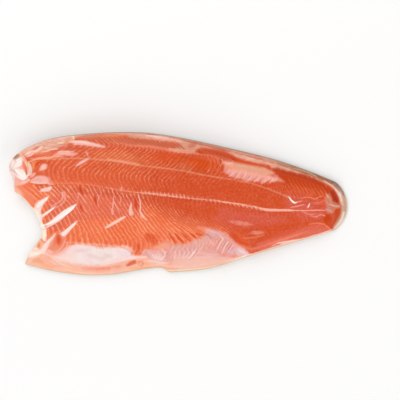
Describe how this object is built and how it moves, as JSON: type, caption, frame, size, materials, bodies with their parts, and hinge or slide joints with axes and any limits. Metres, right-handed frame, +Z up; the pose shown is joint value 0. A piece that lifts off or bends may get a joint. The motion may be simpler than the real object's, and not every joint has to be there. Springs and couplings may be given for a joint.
{
  "type": "raw trout fillet",
  "caption": "Raw side of trout, pale flaked orange flesh on its own grey skin, trimmed at collar and tail, laid flat with the skin down.",
  "frame": {"origin": "middle of the outline's box on the resting plane, under the skin", "axes": "+X from the collar cut to the tail, +Y from the belly edge to the back edge, +Z up, skin down"},
  "size_m": [0.3686, 0.159, 0.0286],
  "materials": {
    "flesh": "wet orange-red flesh with pale flake lines",
    "skin": "wet silver-grey skin"
  },
  "bodies": {
    "root": {"flesh": "flesh", "skin": "skin"}
  },
  "joints": []
}
